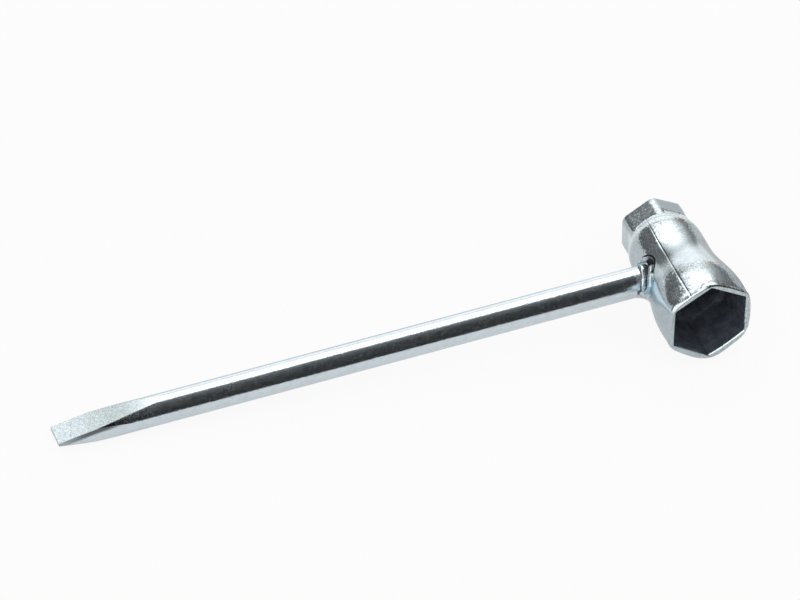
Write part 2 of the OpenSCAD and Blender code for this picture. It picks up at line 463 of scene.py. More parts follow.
def press_seam(piece):
    """Peaks the nut barrel along the seam, opens the seam's line of edges and presses it in."""
    outwards = outwards_at(PLUG_TURN - HEX_HALF)
    select_seam(piece, SEAM_NEAR, WAIST_STATION + SEAM_PEAK_REACH, SHOULDER_FOOT - SEAM_PEAK_REACH)
    bpy.ops.transform.translate(
        value=outwards * SEAM_PEAK,
        use_proportional_edit=True,
        use_proportional_connected=True,
        proportional_edit_falloff="SHARP",
        proportional_size=SEAM_PEAK_REACH,
    )
    select_seam(piece, SEAM_NEAR, RIM_ROUND / 2, SHOULDER_FOOT)
    bpy.ops.mesh.bevel(offset=SEAM_WIDTH / 2, offset_type="OFFSET", segments=2, affect="EDGES")
    select_seam(piece, SEAM_BOTTOM, RIM_ROUND, SHOULDER_FOOT - SEAM_SHORT)
    bpy.ops.transform.translate(value=outwards * -SEAM_DEPTH)
    bpy.ops.mesh.select_mode(type="VERT")


def socket_tube():
    add_hexagon(PLUG_START, PLUG_HEX_R + WALL, PLUG_TURN)
    piece = begin("swaged_socket_tube")
    plug_outside(piece)
    nut_outside(piece)
    swell_heels(piece, OUTER_HEELS)
    plug_inside(piece)
    swell_heels(piece, WALL_HEELS)
    nut_inside(piece)
    mid_wall = NECK_R + WALL / 2
    neck_end = NUT_MOUTH - NUT_HEX_DEPTH - NUT_CONE
    bridge(piece, (WAIST_STATION, NECK_R, FAR), (BARREL_END, mid_wall, FAR))
    bridge(piece, (PLUG_HEX_DEPTH + PLUG_CONE, 0, mid_wall), (neck_end, 0, mid_wall))
    bridge(piece, (RIM_OUTER, 0, FAR), (RIM_INNER, 0, FAR))
    bridge(piece, (NUT_MOUTH, 0, FAR), (NUT_MOUTH - RIM_STEP, 0, NUT_INSIDE))
    bpy.ops.mesh.select_all(action="SELECT")
    bpy.ops.mesh.normals_make_consistent(inside=False)
    press_seam(piece)
    finish_smooth(piece)
    return piece


# The handle rod

def blade_half(d):
    """Half the blade's thickness at a distance from its tip."""
    return BLADE_FULL - (BLADE_FULL - BLADE_HALF_TIP) * (1 - min(1, d / BLADE_LENGTH)) ** BLADE_CURVE


def blade_side(d):
    """Half the blade's width at a distance from its tip."""
    return ease(BLADE_HALF_WIDTH, BLADE_FULL, (d - BLADE_PARALLEL) / BLADE_DRAW)


def flatten(piece, station, axis, limit):
    """Presses the ring's points that stand past the limit along an axis flat on to it."""
    centre = ROD_STATION if axis == 1 else 0
    value = [1, 1, 1]
    value[axis] = 0
    for side in (1, -1):
        select_where(
            piece, lambda p: abs(p.x - station) < SAME_PLACE and side * (p[axis] - centre) > limit
        )
        if selected_points(piece):
            place = [station, ROD_STATION, 0]
            place[axis] = centre + side * limit
            bpy.ops.transform.resize(value=value, center_override=place)


def handle_rod():
    here = -WAIST_R + ROD_SUNK
    bpy.ops.mesh.primitive_circle_add(
        vertices=ROD_POINTS,
        radius=ROD_R,
        fill_type="NOTHING",
        location=(here, ROD_STATION, 0),
        rotation=(0, math.pi / 2, 0),
    )
    piece = begin("forged_handle_rod")
    bpy.ops.mesh.edge_face_add()
    select_where(piece, anywhere)
    start = BLADE_LENGTH + BLADE_LEAD
    for d in [start] + spread(start, 0, BLADE_RINGS):
        station = BLADE_TIP + d
        bpy.ops.mesh.extrude_region_move(TRANSFORM_OT_translate={"value": (station - here, 0, 0)})
        here = station
        flatten(piece, station, 2, blade_half(d))
        flatten(piece, station, 1, blade_side(d))
        select_where(piece, lambda p: abs(p.x - station) < SAME_PLACE)
    bpy.ops.mesh.select_all(action="SELECT")
    bpy.ops.mesh.remove_doubles(threshold=SAME_PLACE)
    bpy.ops.mesh.normals_make_consistent(inside=False)
    bpy.ops.object.mode_set(mode="OBJECT")
    bpy.ops.object.shade_smooth_by_angle(angle=SHARP_EDGE)
    return piece


# The welds round the rod: rings of beads, drawn on to the tube's saddle and along the rod

WELD_SECTIONS, WELD_POINTS = 96, 24
ROOT_RING_R, ROOT_BEAD_R = mm(4.6, 1)
CAP_RING_R, CAP_BEAD_R = mm(4.25, 0.66)
# The lean of a section's outer quarter, and the share of its radius that parts one side from the other
QUARTER_LEAN, SECTION_PART = 45 * DEG, 0.01
# The root bead's reach on the tube, by angle round the rod
TOE = (
    (-180 * DEG, 4.9 * MM),
    (-70 * DEG, 4.6 * MM),
    (-44 * DEG, 4.9 * MM),
    (-23 * DEG, 6.1 * MM),
    (0 * DEG, 6.8 * MM),
    (22 * DEG, 6.95 * MM),
    (37 * DEG, 6.75 * MM),
    (60 * DEG, 7.9 * MM),
    (75 * DEG, 7.5 * MM),
    (105 * DEG, 6.6 * MM),
    (140 * DEG, 6.4 * MM),
    (180 * DEG, 4.9 * MM),
)
# The root bead's ridge along the toe, and the hollow fillet that it turns into under the rod
RIDGE_R, RIDGE_HEIGHT = mm(0.85, 0.95)
FILLET_END, FILLET_SUNK = mm(-13.5, 0.9)
FILLET_HOLLOW = -0.7
FILLET_ANGLES = (deg(70, 104), deg(180, 155))
# How far the cap bead stands off the tube, and the angles between which it stands out of the rod
CAP_STEP, CAP_SUNK, CAP_BODY = mm(1.3, 1, 2)
CAP_ANGLES = (deg(-38, -5), deg(112, 86))
# Puddles along each bead: waves with their share of its size, their number round the rod and their start
ROOT_PUDDLES = ((0.12, 9, 0.5), (0.08, 4, 2))
CAP_PUDDLES = ((0.1, 7, 1.2), (0.06, 11, 0))
SPATTER_SIZE, SPATTER_HEIGHT = mm(1.4, 0.2)


def round_rod(p):
    """Angle of a point round the rod, from straight up towards the plug mouth."""
    return math.atan2(ROD_STATION - p.y, p.z)


def saddle(angle, distance):
    """Place along the rod where the tube's outside lies, at a distance from the rod's axis."""
    across = barrel_r(ROD_STATION - distance * math.sin(angle))
    return -math.sqrt(across ** 2 - (distance * math.cos(angle)) ** 2)


def between(table, angle):
    """Value of a table at an angle, between its two nearest rows."""
    for (first, low), (last, high) in zip(table, table[1:]):
        if first <= angle <= last:
            return low + (high - low) * (angle - first) / (last - first)
    return table[-1][1]


def share_within(ends, angle):
    """Share from 0 to 1 that rises and falls between two pairs of angles."""
    return min(ease(0, 1, (angle - out) / (full - out)) for out, full in ends)


def puddled(puddles, angle):
    """How much thicker or thinner a bead is at an angle."""
    return 1 + sum(share * math.sin(number * angle + start) for share, number, start in puddles)


def root_bead(angle):
    """Sizes of the root bead's section: a ridge along its toe that turns into a hollow fillet."""
    hollow = share_within(FILLET_ANGLES, angle)
    reach = between(TOE, angle)
    ridge = reach - RIDGE_R
    rise = saddle(angle, ridge + MM / 2) - saddle(angle, ridge - MM / 2)

    def mixed(of_ridge, of_fillet):
        return of_ridge + (of_fillet - of_ridge) * hollow

    return dict(
        station=mixed(saddle(angle, ridge), saddle(angle, reach)),
        lift=mixed(ridge, ROD_R) - ROOT_RING_R,
        lean=mixed(math.atan(rise / MM), 0),
        length=mixed(RIDGE_HEIGHT * puddled(ROOT_PUDDLES, angle), saddle(angle, reach) - FILLET_END),
        inner=mixed(RIDGE_HEIGHT, FILLET_SUNK),
        height=mixed(RIDGE_R, reach - ROD_R),
        hollow=mixed(1, FILLET_HOLLOW),
    )


def cap_bead(angle):
    """Sizes of the cap bead's section, which sinks into the rod at its ends."""
    size = CAP_BEAD_R * puddled(CAP_PUDDLES, angle)
    return dict(
        station=saddle(angle, CAP_RING_R) - CAP_STEP,
        lift=-CAP_SUNK * (1 - share_within(CAP_ANGLES, angle)),
        lean=0,
        length=size,
        inner=CAP_BODY,
        height=size,
        hollow=1,
    )


def weld_bead(name, ring_r, bead_r, section):
    """A ring whose sections are each turned to the top of the rod, shaped there and turned back."""
    bpy.ops.mesh.primitive_torus_add(
        major_segments=WELD_SECTIONS,
        minor_segments=WELD_POINTS,
        major_radius=ring_r,
        minor_radius=bead_r,
        location=CROSSING,
        rotation=(0, math.pi / 2, 0),
    )
    piece = begin(name)
    half_step = math.pi / WELD_SECTIONS
    top = CROSSING + Vector((0, 0, ring_r))
    chord = top + Vector((0, 0, bead_r * math.cos(QUARTER_LEAN)))
    part = bead_r * SECTION_PART

    def off_section(p, angle):
        off = round_rod(p) - angle
        return abs(math.atan2(math.sin(off), math.cos(off)))

    angles = [-math.pi + half_step * (2 * i + 2) for i in range(WELD_SECTIONS)]
    sections = [numbers_where(piece, lambda p: off_section(p, angle) < half_step / 2) for angle in angles]
    for angle, numbers in zip(angles, sections):
        size = section(angle)
        select_where(piece, anywhere, numbers)
        turn("X", -angle, CROSSING)
        select_where(piece, lambda p: p.x < -part and p.z > ring_r + part, numbers)
        turn("Y", QUARTER_LEAN, top)
        bpy.ops.transform.resize(value=(1, 1, size["hollow"]), center_override=chord)
        turn("Y", -QUARTER_LEAN, top)
        select_where(piece, lambda p: p.x > part, numbers)
        bpy.ops.transform.resize(value=(size["inner"] / size["length"], 1, 1), center_override=top)
        select_where(piece, anywhere, numbers)
        stretch = (size["length"] / bead_r, 1, size["height"] / bead_r)
        bpy.ops.transform.resize(value=stretch, center_override=top)
        turn("Y", size["lean"], top)
        bpy.ops.transform.translate(value=(size["station"], 0, size["lift"]))
        turn("X", angle, CROSSING)
    spatter = bpy.data.textures.new(name + "_spatter", "CLOUDS")
    spatter.noise_scale = SPATTER_SIZE
    lumps = piece.modifiers.new("lumps", "DISPLACE")
    lumps.texture = spatter
    lumps.texture_coords = "LOCAL"
    lumps.strength = SPATTER_HEIGHT
    finish_smooth(piece)
    return piece


# Finishes, with the ranges over which each mark rises or falls

# The plate's grain, mottle and pits: features to the metre, detail and roughness of each layer of noise
GRAIN_LAYERS = {"Grain Scale": (2600, 0.4, 0.5), "Mottle Scale": (420, 4, 0.6), "Pit Scale": (900, 2, 0.5)}
PIT_NOISE = (0.62, 0.72)
# The noise between whose levels the mottle runs from bright to dull, and oxide bloom from none to full
MOTTLE, BLOOM_GRAIN = (0.35, 0.7), (0.53, 0.73)
PITTED, PIT_ROUGHNESS = (0.36, 0.41, 0.44, 1), 0.2
# Crystals of the zinc to the metre, the unevenness at which one starts to lean and leans fully, and the
# middle of their tones
SPANGLE_SCALE, SPANGLE_FEW, MIDDLE_TONE = 2900, (0.35, 0.85), 0.5
# The tube's bare inside, painted dark as the shade within the sockets: its tints, rusty pits, roughness,
# depth of grain and gloss
BORE_DARK, BORE_PALE = (0.04, 0.047, 0.062, 1), (0.088, 0.103, 0.132, 1)
BORE_RUST, BORE_PITS = (0.075, 0.062, 0.06, 1), 0.7
BORE_ROUGHNESS, BORE_GRAIN, BORE_GLOSS = (0.68, 0.52), 0.03 * MM, 0.3
# How far it stays from the nut mouth, and the most that its faces may lean outwards
BORE_SHORT, BORE_LEAN = 0.5 * MM, 0.3
# The forged blade, by distances from its tip: its end and the rise of its tint, with the tint's share at the
# tip and the edge of the flats
FORGED_END, FORGED_RISE, FORGED_TIP, FLAT_EDGE = mm(30, 18), mm(0, 16), 0.45, mm(0.1, 0.2)
FORGED = (0.43, 0.49, 0.495, 1)
FORGED_ROUGHNESS, FORGED_GRAIN, FORGED_FLECKS = 0.22, 3, 2.5
# A line of painted shade under the upper flat's edge, for the dark reflection on the blade's side:
# its width, its rise and end from the tip, and shares
EDGE_PAINTED_SHADE, EDGE_WIDTH = (0.06, 0.067, 0.072, 1), mm(1.1, 2.1)
EDGE_RISE, EDGE_END = mm(0, 8), mm(13, 19)
EDGE_TIP, EDGE_SHARE = 0.4, 0.87
# The scorched collar on the rod beside the weld
COLLAR, COLLAR_ROUGHNESS = mm(-13.05, -12.75), 0.12
# Stains on the tube, by their station, angle from straight up and half sizes
STAINS = (
    (30 * MM, 24 * DEG, mm(2.6, 1.3, 1.6)),
    (9.3 * MM, 19 * DEG, mm(2.4, 1.2, 1.4)),
    (0.6 * MM, 24 * DEG, mm(1.6, 0.8, 1.2)),
)
STAIN, STAIN_SHARE, STAIN_FADE = (0.58, 0.56, 0.48, 1), 0.8, (0.8, 1.9)
STAIN_RAGGED = (1100, 2, 0.5)
# The burnished waist, where the crystals lie flat, by its stations
BURNISHED_FROM, BURNISHED_TO = mm(10.5, 13), mm(21, 23.5)
# How much of the pitted tint and what roughness the nut end takes
NUT_DULL, NUT_ROUGHNESS = 0.3, 0.08
# The nut end's one matt facet: its first and last angle from straight up, their fade, and its roughness
MATT_ANGLES, MATT_ROUGHNESS = deg(4, 60, 3), 0.2
# The smoother side of the tube towards the rod: its angles in the same way, the share of the crystals that
# is left there, its painted shade at the plug end, for the darker reflection of the shadowed floor, and the
# stations between which that ends
SMOOTH_ANGLES, SMOOTH_CRYSTALS = deg(-172, -50, 10), 0.3
ROD_SIDE_PAINTED_SHADE, PAINTED_SHADE_END = (0.53, 0.605, 0.64, 1), mm(11, 17)
# The dark line along the seam, partly grime and partly painted shade beside its groove: its first and last
# distance from the seam, their fade, and its stations
GRIME_AND_SHADE, GRIME_AND_SHADE_SHARE, GRIME_AND_SHADE_LINE = (0.07, 0.075, 0.08, 1), 0.85, mm(0.06, 0.32, 0.06)
GRIME_AND_SHADE_START, GRIME_AND_SHADE_STOP = (RIM_ROUND, RIM_ROUND * 2), (SHOULDER_FOOT - 4 * MM, SHOULDER_FOOT - 2 * MM)
# Painted shade beside the weld, a dark colour for the shade of its undercut and hollows, and the places
# along the rod where the marks on the tube end
SCALE, WELD_SHADE_ROUGHNESS, MARKS_END = (0.02, 0.022, 0.026, 1), 0.35, mm(-3, -1)
# The line of painted shade along the weld's upper toe, round the rod: its greatest distance, the angle
# there, its spread, its angles in the same way as the facet's, and its edges
TOE_SHADE_REACH, TOE_SHADE_AT, TOE_SHADE_SPREAD = 6.95 * MM, 15 * DEG, 41 * DEG
TOE_SHADE_ANGLES, TOE_SHADE_INNER, TOE_SHADE_OUTER = deg(-48, 41, 8), mm(-0.12, 0.02), mm(0.34, 0.48)
# The patch of painted shade inside that line, by its distances from it and angles round the rod
PATCH_INNER, PATCH_ANGLES = mm(-1.25, -0.95), deg(-4, 24, 7)
# Painted shade in the weld's hollows: distances from the rod's axis, distances past the cap bead's crest,
# and angles round the rod
HOLLOW_REACH, BEHIND_REACH, BEHIND_CAP = mm(4.45, 4.95), mm(5.1, 5.6), mm(0.1, 0.35)
HOLLOW_ANGLES, HOLLOW_SHARE = deg(-20, 105, 15), 0.85
# The heat tint on the front of the root bead, partly painted shade over its highlight, by distances from the
# rod's axis and angles round it, then its share on the tube, where it paints shade over a highlight, and
# the distances between which it ends there
HEAT_TINT_AND_SHADE, HEAT_AND_SHADE_SHARE = (0.3, 0.42, 0.5, 1), 0.85
HEAT_AND_SHADE_REACH, HEAT_AND_SHADE_ANGLES = mm(4.9, 5.3), deg(44, 86, 9)
HEAT_AND_SHADE_ON_TUBE, HEAT_AND_SHADE_STOP = 0.75, mm(9, 16)


class Value:
    """What a shader works out at each point, for use in plain sums."""

    def __init__(self, socket):
        self.socket = socket
        self.tree = socket.id_data

    def calc(self, operation, *others):
        return new_value(self.tree, "Math", 0, dict(enumerate((self, *others))), operation=operation)

    def __add__(self, other):
        return self.calc("ADD", other)

    def __sub__(self, other):
        return self.calc("SUBTRACT", other)

    def __rsub__(self, other):
        return self.calc("MULTIPLY_ADD", -1, other)

    def __mul__(self, other):
        return self.calc("MULTIPLY", other)

    def __truediv__(self, other):
        return self.calc("DIVIDE", other)

    def vector(self, operation, other=None):
        """A sum with vectors, in which the other may be a number to scale by."""
        inputs = {0: self}
        if other is not None:
            inputs["Scale" if operation == "SCALE" else 1] = other
        output = "Value" if operation in ("LENGTH", "DOT_PRODUCT") else "Vector"
        return new_value(self.tree, "VectorMath", output, inputs, operation=operation)

    def ramp(self, low, high, to_low=0, to_high=1):
        """Carries the value smoothly from one range to another, and no further."""
        inputs = {"Value": self, "From Min": low, "From Max": high, "To Min": to_low, "To Max": to_high}
        return new_value(self.tree, "MapRange", "Result", inputs, interpolation_type="SMOOTHSTEP")

    def window(self, first, last, fade, share=1):
        """Mask that rises after the first value and falls before the last."""
        return self.ramp(first, first + fade) * self.ramp(last - fade, last, share, 0)

    def either(self, first, second):
        """Number between two others, with this value as the second one's share."""
        return new_value(self.tree, "Mix", 0, {"Factor": self, 2: first, 3: second})

    def blend(self, first, second):
        """Colour between two others, with this value as the second one's share."""
        return new_value(self.tree, "Mix", 2, {"Factor": self, 6: first, 7: second}, data_type="RGBA")


def feed(sockets, values):
    """Sets or links sockets, each by its name or number."""
    for key, given in dict(values).items():
        if isinstance(given, Value):
            given.tree.links.new(given.socket, sockets[key])
        else:
            sockets[key].default_value = given


def add_node(tree, kind, inputs, **settings):
    """Adds a node with its settings and inputs, and gives its outputs."""
    made = tree.nodes.new("ShaderNode" + kind)
    for name, setting in settings.items():
        setattr(made, name, setting)
    feed(made.inputs, inputs)
    return made.outputs


def new_value(tree, kind, output, inputs=(), **settings):
    """One output of a new node, by its name or number."""
    return Value(add_node(tree, kind, inputs, **settings)[output])


def place_in(tree):
    """Place on the piece, whole and as its three measures."""
    place = new_value(tree, "TexCoord", "Object")
    return place, *map(Value, add_node(tree, "SeparateXYZ", {0: place}))


def noise(place, scale, detail, roughness):
    inputs = {"Vector": place, "Scale": scale, "Detail": detail, "Roughness": roughness}
    return new_value(place.tree, "TexNoise", "Fac", inputs)


def new_material(name):
    """A new finish, with its node tree and its main shader's inputs."""
    material = bpy.data.materials.new(name)
    material.use_nodes = True
    return material, material.node_tree, material.node_tree.nodes["Principled BSDF"].inputs


def new_group(name, inputs, outputs):
    """A shader group with number inputs, given by their default values, and named outputs, with both ends."""
    group = bpy.data.node_groups.new(name, "ShaderNodeTree")
    for socket, default in inputs.items():
        made = group.interface.new_socket(socket, in_out="INPUT", socket_type="NodeSocketFloat")
        made.default_value = default
    for socket in outputs:
        kind = "NodeSocketVector" if socket == "Normal" else "NodeSocketFloat"
        group.interface.new_socket(socket, in_out="OUTPUT", socket_type=kind)
    given = group.nodes.new("NodeGroupInput").outputs
    values = {socket: Value(given[socket]) for socket in inputs}
    return group, values, group.nodes.new("NodeGroupOutput").inputs


def use_group(tree, group, inputs=()):
    """A group's outputs by name."""
    return {socket.name: Value(socket) for socket in add_node(tree, "Group", inputs, node_tree=group)}


def plating_grain():
    """Fine grain, broad mottle and small pits of zinc plate, in features to the metre."""
    scales = {name: layer[0] for name, layer in GRAIN_LAYERS.items()}
    group, given, result = new_group("plating_grain", scales, ("Height", "Mottle", "Pits"))
    place = place_in(group)[0]
    fine, broad, small = (noise(place, given[name], *layer[1:]) for name, layer in GRAIN_LAYERS.items())
    feed(result, {"Height": fine, "Mottle": broad, "Pits": small.ramp(*PIT_NOISE)})
    return group


def zinc_spangle():
    """Small crystals that each have their own tone, a few of them leaning."""
    inputs = {"Scale": SPANGLE_SCALE, "Lean": 0, "Fleck": 0}
    group, given, result = new_group("zinc_spangle", inputs, ("Normal", "Tone"))
    place = place_in(group)[0]
    crystal = new_value(group, "TexVoronoi", "Color", {"Vector": place, "Scale": given["Scale"]})
    way = crystal.vector("SUBTRACT", (MIDDLE_TONE, MIDDLE_TONE, MIDDLE_TONE))
    few = way.vector("LENGTH").ramp(*SPANGLE_FEW)
    lean = way.vector("SCALE", few).vector("SCALE", given["Lean"])
    leaning = new_value(group, "NewGeometry", "Normal").vector("ADD", lean).vector("NORMALIZE")
    tone = new_value(group, "SeparateColor", "Red", {0: crystal}) - MIDDLE_TONE
    feed(result, {"Normal": leaning, "Tone": tone * given["Fleck"] + 1})
    return group


def weld_marks():
    """Masks of painted shade on the weld's toe and in its hollows, and of heat tint with shade in front."""
    group, _, result = new_group("weld_marks", {}, ("On Weld", "On Tube", "Heat", "Heat On Tube"))
    _, x, y, z = place_in(group)
    front = ROD_STATION - y
    angle = front.calc("ARCTAN2", z)
    distance = (front * front + z * z).calc("SQRT")
    # Painted shade along the weld's upper toe and in a patch inside it, for the shade of the undercut
    off = (angle - TOE_SHADE_AT) / TOE_SHADE_SPREAD
    beyond = distance - (TOE_SHADE_REACH - off * off * MM)
    toe = angle.window(*TOE_SHADE_ANGLES) * beyond.ramp(*TOE_SHADE_INNER)
    patch = beyond.ramp(*PATCH_INNER) * angle.window(*PATCH_ANGLES)
    drop = angle.calc("COSINE") * CAP_RING_R
    crest = (WAIST_R ** 2 - drop * drop).calc("SQRT") + CAP_STEP
    # Painted shade in the hollows behind the cap bead and near the rod
    hollow = (x + crest).ramp(*BEHIND_CAP) * distance.ramp(*BEHIND_REACH, 1, 0)
    hollow = hollow.calc("MAXIMUM", distance.ramp(*HOLLOW_REACH, 1, 0))
    hollow = hollow * angle.window(*HOLLOW_ANGLES, HOLLOW_SHARE)
    # The heat tint in front, which also paints shade over the highlight there, on the weld and on the tube
    heat = angle.window(*HEAT_AND_SHADE_ANGLES, HEAT_AND_SHADE_SHARE) * distance.ramp(*HEAT_AND_SHADE_REACH)
    rod_side = x.ramp(*MARKS_END, 1, 0)
    masks = {
        "On Weld": toe.calc("MAXIMUM", patch).calc("MAXIMUM", hollow),
        "On Tube": toe * beyond.ramp(*TOE_SHADE_OUTER, 1, 0) * rod_side,
        "Heat": heat,
        "Heat On Tube": heat * distance.ramp(*HEAT_AND_SHADE_STOP, HEAT_AND_SHADE_ON_TUBE, 0) * rod_side,
    }
    feed(result, masks)
    return group


def heat_tinted_and_shaded(tint, rough, heat, scale):
    """Tint and roughness of plate under these masks of heat tint and painted shade."""
    masks = use_group(tint.tree, marks)
    tint = masks[heat].blend(tint, HEAT_TINT_AND_SHADE)
    # SCALE is the dark colour of painted shade by the weld and in its hollows
    return masks[scale].blend(tint, SCALE), masks[scale] * WELD_SHADE_ROUGHNESS + rough


def forged_rod(tint, rough, height):
    """The forged blade's dull plate, with painted shade under its upper edge, and the rough scorched collar.
    """
    _, x, _, z = place_in(tint.tree)
    from_tip = x - BLADE_TIP
    left = ((BLADE_LENGTH - from_tip) / BLADE_LENGTH).calc("MAXIMUM", 0).calc("POWER", BLADE_CURVE)
    half = left * (BLADE_HALF_TIP - BLADE_FULL) + BLADE_FULL
    short = half - z.calc("ABSOLUTE")
    forged = from_tip.ramp(*FORGED_END) * short.ramp(*FLAT_EDGE, 1, 0)
    worn = forged * from_tip.ramp(*FORGED_RISE, FORGED_TIP, 1)
    tint = worn.blend(tint, FORGED)
    rough = forged * FORGED_ROUGHNESS + rough
    rough = x.ramp(*COLLAR) * COLLAR_ROUGHNESS + rough
    height = height * (forged * FORGED_GRAIN + 1)
    # Painted shade: a dark line under the upper flat's edge, for the dark reflection on the blade's side
    share = from_tip.ramp(*EDGE_END, from_tip.ramp(*EDGE_RISE, EDGE_TIP, EDGE_SHARE), 0)
    line = short.ramp(*FLAT_EDGE) * (half - z).ramp(*EDGE_WIDTH, 1, 0) * share
    return line.blend(tint, EDGE_PAINTED_SHADE), rough, height, forged * FORGED_FLECKS + 1


def brown_stains(place, tint):
    ragged = noise(place, *STAIN_RAGGED)
    for station, angle, size in STAINS:
        across = barrel_r(station)
        middle = (across * math.sin(angle), station, across * math.cos(angle))
        off = place.vector("SUBTRACT", middle).vector("DIVIDE", size).vector("LENGTH") + ragged
        tint = off.ramp(*STAIN_FADE, STAIN_SHARE, 0).blend(tint, STAIN)
    return tint


def seam_grime_and_shade(station, angle):
    """Mask for the seam's dark line, of grime and painted shade, which turns with the barrel."""
    turned = {
        "Value": station,
        "From Min": BARREL_END,
        "From Max": SHOULDER_TOP,
        "To Min": seam_angle(BARREL_END),
        "To Max": seam_angle(SHOULDER_TOP),
    }
    aside = (angle - new_value(angle.tree, "MapRange", "Result", turned)) * WAIST_R
    line = aside.window(*GRIME_AND_SHADE_LINE, GRIME_AND_SHADE_SHARE)
    return line * station.ramp(*GRIME_AND_SHADE_START) * station.ramp(*GRIME_AND_SHADE_STOP, 1, 0)


def stained_tube(tint, rough, height):
    """Stains, grime, heat tint and painted shade on the tube's plate, its smooth places and dull nut end."""
    place, x, station, z = place_in(tint.tree)
    angle = x.calc("ARCTAN2", z)
    tint = brown_stains(place, tint)
    nut_end = station.ramp(SHOULDER_FOOT, SHOULDER_FOOT + FOOT_LENGTH)
    matt = angle.window(*MATT_ANGLES) * nut_end
    tint = ((nut_end - matt) * NUT_DULL).blend(tint, PITTED)
    rough = nut_end * NUT_ROUGHNESS + rough
    rough = matt * MATT_ROUGHNESS + rough
    smooth = angle.window(*SMOOTH_ANGLES)
    # Painted shade on the rod's side at the plug end, for the darker reflection of the shadowed floor
    tint = (smooth * station.ramp(*PAINTED_SHADE_END, 1, 0)).blend(tint, ROD_SIDE_PAINTED_SHADE)
    crystals = station.ramp(*BURNISHED_FROM, 1, 0) + station.ramp(*BURNISHED_TO) - matt
    crystals = crystals * smooth.ramp(0, 1, 1, SMOOTH_CRYSTALS)
    # Dark line beside the seam: partly grime, partly painted shade beside its groove
    tint = seam_grime_and_shade(station, angle).blend(tint, GRIME_AND_SHADE)
    return *heat_tinted_and_shaded(tint, rough, "Heat On Tube", "On Tube"), height, crystals


def heat_tinted_and_shaded_weld(tint, rough, height):
    """The weld's heat tint and shade in front, and painted shade on its upper toe and in its hollows."""
    return *heat_tinted_and_shaded(tint, rough, "Heat", "On Weld"), height, 1


def plated_metal(name, bright, dull, roughness, grain_depth, scales, pit_share, lean, fleck, bloom, wear):
    """Zinc plate between a bright and a dull tint, with the grain raised by a real depth."""
    material, tree, shader = new_material(name)
    speckle, mottle, pits = use_group(tree, grain, dict(zip(GRAIN_LAYERS, scales))).values()
    mottle = mottle.ramp(*MOTTLE)
    pits = pits * pit_share
    tint = pits.blend(mottle.blend(bright, dull), PITTED)
    rough = pits * PIT_ROUGHNESS + mottle.ramp(0, 1, *roughness)
    tint, rough, height, crystals = wear(tint, rough, speckle)
    crystal = use_group(tree, spangle, {"Lean": crystals * lean, "Fleck": crystals * fleck})
    raised = {"Height": height, "Strength": 1, "Distance": grain_depth, "Normal": crystal["Normal"]}
    looks = {
        "Base Color": tint.vector("SCALE", crystal["Tone"]),
        "Roughness": rough,
        "Metallic": speckle.ramp(*BLOOM_GRAIN, 1, 1 - bloom),
        "Normal": new_value(tree, "Bump", "Normal", raised),
    }
    feed(shader, looks)
    return material


def bare_shaded_bore():
    """The tube's bare inside, painted dark as shade within the sockets, mottled and finely grained."""
    material, tree, shader = new_material("dark_bore")
    height, mottle, pits = use_group(tree, grain).values()
    mottle = mottle.ramp(*MOTTLE)
    raised = {"Height": height, "Strength": 1, "Distance": BORE_GRAIN}
    looks = {
        # The near-black tints paint the shade within the sockets over the bare steel
        "Base Color": (pits * BORE_PITS).blend(mottle.blend(BORE_DARK, BORE_PALE), BORE_RUST),
        "Roughness": mottle.ramp(0, 1, *BORE_ROUGHNESS),
        "Normal": new_value(tree, "Bump", "Normal", raised),
        "Specular IOR Level": BORE_GLOSS,
    }
    feed(shader, looks)
    return material


def line_bore(piece, material):
    """Gives the faces inside the tube, past the lead-ins, their own finish."""
    piece.data.materials.append(material)
    for face in piece.data.polygons:
        middle = face.center
        facing = face.normal.dot(Vector((middle.x, 0, middle.z)).normalized())
        deep = LEAD_IN < middle.y < NUT_MOUTH - BORE_SHORT
        in_wall = from_axis(middle) < barrel_r(middle.y) - WALL / 3
        if deep and (facing < -BORE_LEAN or in_wall and facing < BORE_LEAN):
            face.material_index = 1


# Studio

# The soft light behind the wrench, as seen from it: its turn from straight behind and its height, then
# places and sizes as slopes from there, for what lies at least a little in front
LIGHT_TURN, LIGHT_HEIGHT, LEAST_DEPTH = -7 * DEG, 40 * DEG, 0.01
# The panel above: a glow with its middle past the zenith, levelled off at its brightest, cut at its top and
# on its slanting left
GLOW_PEAK, GLOW_MOST = 72, 1.8
GLOW_ASIDE, GLOW_WIDTH, GLOW_UP, GLOW_TALL = 0.184, 0.569, 2.329, 1.172
GLOW_TOP, GLOW_LEFT, GLOW_LEFT_SLANT = (0.78, 0.92), (-0.66, -0.34), 0.8
# The pale sweep under it, with slanting sides
SWEEP_LEVEL, SWEEP_TOP = 1.06, (-0.287, -0.133)
SWEEP_LEFT, SWEEP_LEFT_SLANT = (-0.052, 0.168), -1.431
SWEEP_RIGHT, SWEEP_RIGHT_SLANT = (0.024, 0.472), 0.386
# Dim light of the room, and the haze round the panel with the nearness at which it starts and is full
ROOM_LEVEL, HAZE_LEVEL, HAZE_NEAR = 0.026, 0.15, (0.1, 0.75)
# A low card beside the nut end, with the heights and the nearness between which it ends
CARD_LEVEL, CARD_HEIGHT, CARD_NEAR = 0.22, (0.05, 0.1), (0.4, 0.6)
# A fill card in front, on the rod's side, and the nearness at which it starts and is full
FILL_SIDE, FILL_LEVEL, FILL_NEAR = Vector((-0.7, -0.4, 0.55)).normalized(), 1.4, (0.58, 0.76)
# Where the plug barrel rests on the floor, how far the nut's corners are blunted, and the floor's size
PLUG_REST, NUT_BLUNT, FLOOR_SIZE = mm(8.3, 0.37, 6000)
# The floor's paint, and the shares of its glow as the camera and as the metal see it
FLOOR_PAINT, FLOOR_SEEN, FLOOR_MIRRORED = (0.76, 0.76, 0.76, 1), 0.9, 0.6
